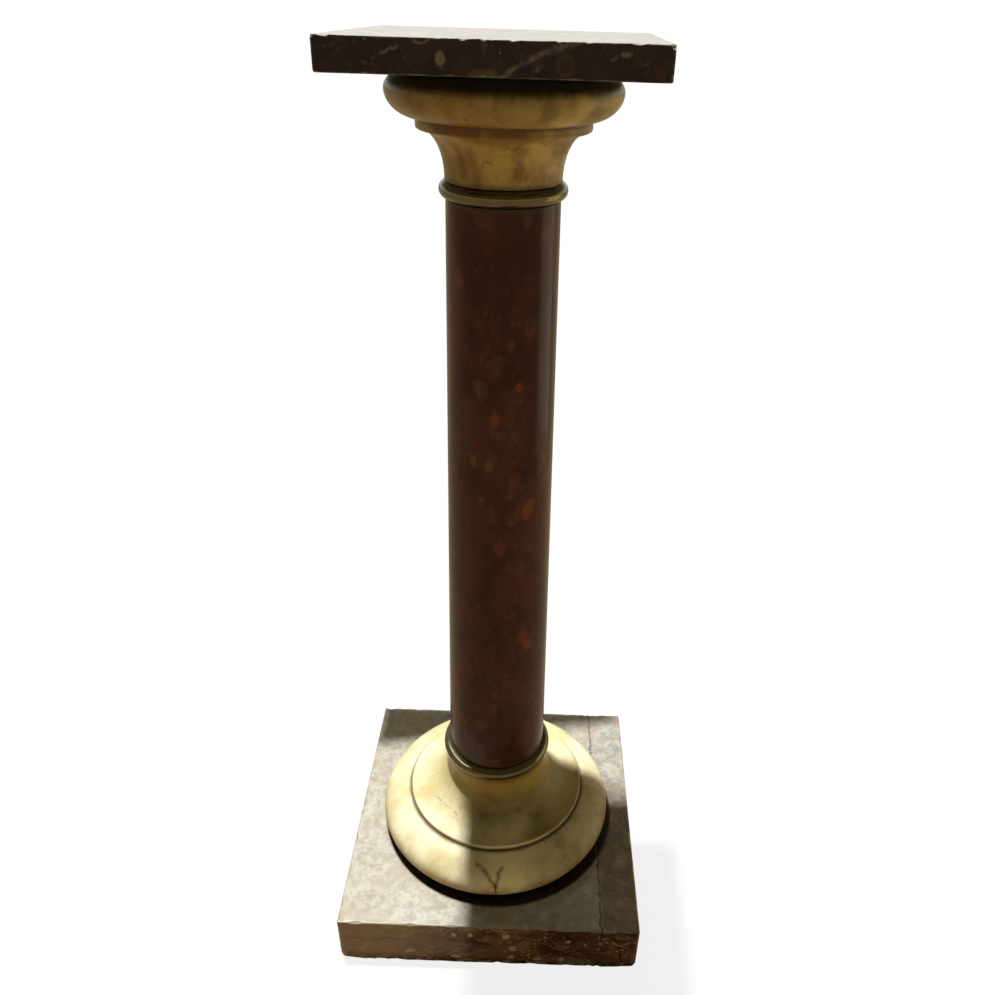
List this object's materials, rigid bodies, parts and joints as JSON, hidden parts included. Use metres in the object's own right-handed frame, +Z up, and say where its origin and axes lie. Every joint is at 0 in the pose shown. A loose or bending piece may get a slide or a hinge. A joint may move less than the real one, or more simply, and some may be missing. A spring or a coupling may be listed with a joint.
{
  "type": "marble pedestal column",
  "caption": "Marble pedestal column for displaying a bust or vase: square plinth, turned base, tapered shaft with brass rings, turned capital and square top slab.",
  "frame": {"origin": "middle of the plinth's underside, on the floor", "axes": "+Z up along the shaft; -Y is the front face of the plinth and +X its right side seen from the front"},
  "size_m": [0.378, 0.378, 1.06],
  "materials": {
    "fossil_marble": "polished dark red-brown marble with fossils, its edges worn",
    "siena_marble": "polished ochre and cream marble with brown veins",
    "red_marble": "polished dark red-brown marble with lighter blotches",
    "aged_brass": "brass with a dark olive patina"
  },
  "bodies": {
    "root": {"top_slab": "fossil_marble", "capital": "siena_marble", "upper_ring": "aged_brass", "shaft": "red_marble", "lower_ring": "aged_brass", "base": "siena_marble", "plinth": "fossil_marble"}
  },
  "joints": []
}
